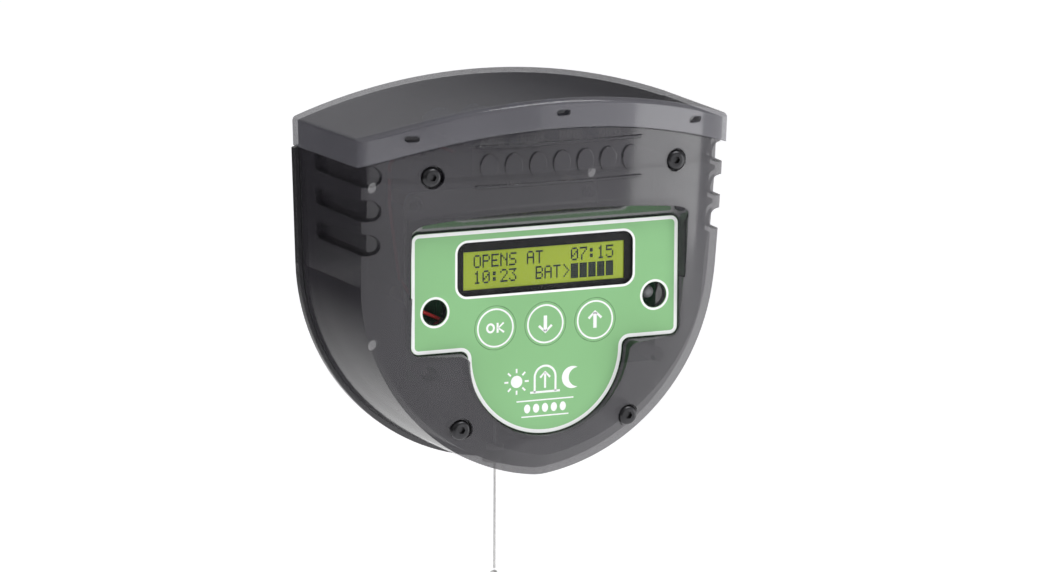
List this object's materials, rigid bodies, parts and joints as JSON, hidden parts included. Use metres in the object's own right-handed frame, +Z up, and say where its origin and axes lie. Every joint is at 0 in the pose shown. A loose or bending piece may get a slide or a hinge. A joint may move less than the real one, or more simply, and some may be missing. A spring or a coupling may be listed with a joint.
{
  "type": "automatic coop door",
  "caption": "Wall-mounted shield-shaped coop door opener with a smoked case, lift-off battery hood, display and key label, and a geared drum that lets down a lift cord.",
  "frame": {"origin": "on the wall face, in the middle of the four fixing holes", "axes": "+X right, +Y into the wall, +Z up"},
  "size_m": [0.1534, 0.0765, 0.2057],
  "materials": {
    "black_plastic": "fine moulded texture",
    "seal_rubber": "matt",
    "smoked_plastic": "gloss, smoked translucent",
    "hood_plastic": "gloss, light smoke, translucent",
    "black_steel": "satin black",
    "label_green": "printed film, satin",
    "clear_film": "clear",
    "bezel_black": "satin black",
    "display_green": "yellow-green display glass",
    "backlight_white": "milky",
    "board_green": "solder mask",
    "switch_black": "moulded",
    "clear_lens": "clear",
    "chip_black": "moulded",
    "capacitor_black": "sleeve",
    "bright_steel": "satin",
    "gearbox_white": "moulded",
    "gear_white": "acetal",
    "brass_parts": "turned",
    "tray_black": "moulded",
    "cell_wrap": "printed sleeve",
    "guide_white": "moulded",
    "cord_fibre": "twisted nylon",
    "lead_red": "sleeved wire",
    "lead_black": "sleeved wire"
  },
  "bodies": {
    "case": {"back_plate": "black_plastic", "case_seal": "seal_rubber", "front_case": "smoked_plastic", "case_screws": "black_steel", "label_panel": "label_green", "display_window": "clear_film", "port_windows": "clear_film", "display_bezel": "bezel_black", "display_glass": "display_green", "display_backlight": "backlight_white", "display_board": "board_green", "display_header": "bezel_black", "main_board": "board_green", "board_screws": "bright_steel", "key_switches": "switch_black", "light_sensor": "clear_lens", "processor": "chip_black", "board_parts": "chip_black", "board_capacitors": "capacitor_black", "drum_axle": "bright_steel", "idler_axle": "bright_steel", "motor_gearhead": "bright_steel", "motor_can": "bright_steel", "gearbox_plate": "gearbox_white", "gearbox_pillars": "brass_parts", "gearbox_screws": "bright_steel", "battery_tray": "tray_black", "battery_cells": "cell_wrap", "battery_contacts": "bright_steel", "battery_springs": "bright_steel", "cord_guide": "guide_white", "cord_inner": "cord_fibre", "red_lead": "lead_red", "black_lead": "lead_black", "lead_plug": "guide_white"},
    "hood": {"rain_hood": "hood_plastic"},
    "ok_key": {"ok_key": "label_green"},
    "down_key": {"down_key": "label_green"},
    "up_key": {"up_key": "label_green"},
    "drum": {"drum_gear": "gear_white", "cord_drum": "gear_white", "cord_winding": "cord_fibre"},
    "idler": {"idler_small_gear": "gear_white", "idler_large_gear": "gear_white"},
    "pinion": {"motor_pinion": "brass_parts", "motor_shaft": "bright_steel"},
    "cord_end": {"cord": "cord_fibre", "cord_knot": "cord_fibre", "cord_ring": "bright_steel"}
  },
  "joints": [
    {"name": "hood_lift", "type": "slide", "parent": "case", "child": "hood", "axis": [0, 0, 1], "range_m": [0, 0.04]},
    {"name": "ok_key_press", "type": "slide", "parent": "case", "child": "ok_key", "axis": [0, 1, 0], "range_m": [0, 0.0008], "stiffness_N_per_m": 400},
    {"name": "down_key_press", "type": "slide", "parent": "case", "child": "down_key", "axis": [0, 1, 0], "range_m": [0, 0.0008], "stiffness_N_per_m": 400},
    {"name": "up_key_press", "type": "slide", "parent": "case", "child": "up_key", "axis": [0, 1, 0], "range_m": [0, 0.0008], "stiffness_N_per_m": 400},
    {"name": "drum_spin", "type": "hinge", "parent": "case", "child": "drum", "pos_m": [0.0115, -0.0137, 0.008], "axis": [0, -1, 0], "range_deg": [0, 1992.9]},
    {"name": "idler_spin", "type": "hinge", "parent": "case", "child": "idler", "pos_m": [-0.01293, -0.0095, 0.01689], "axis": [0, -1, 0], "range_deg": [-6644.99, 0]},
    {"name": "pinion_spin", "type": "hinge", "parent": "case", "child": "pinion", "pos_m": [-0.0259, -0.0095, 0.01217], "axis": [0, -1, 0], "range_deg": [0, 18823.8]},
    {"name": "cord_drop", "type": "slide", "parent": "case", "child": "cord_end", "axis": [0, 0, -1], "range_m": [0, 0.4002], "deforming": ["cord"]}
  ],
  "couplings": [
    {"joint": "idler_spin", "follows": "drum_spin", "ratio": -3.3333},
    {"joint": "pinion_spin", "follows": "drum_spin", "ratio": 9.4444},
    {"joint": "cord_drop", "follows": "drum_spin", "m_per_rad": 0.0115}
  ]
}
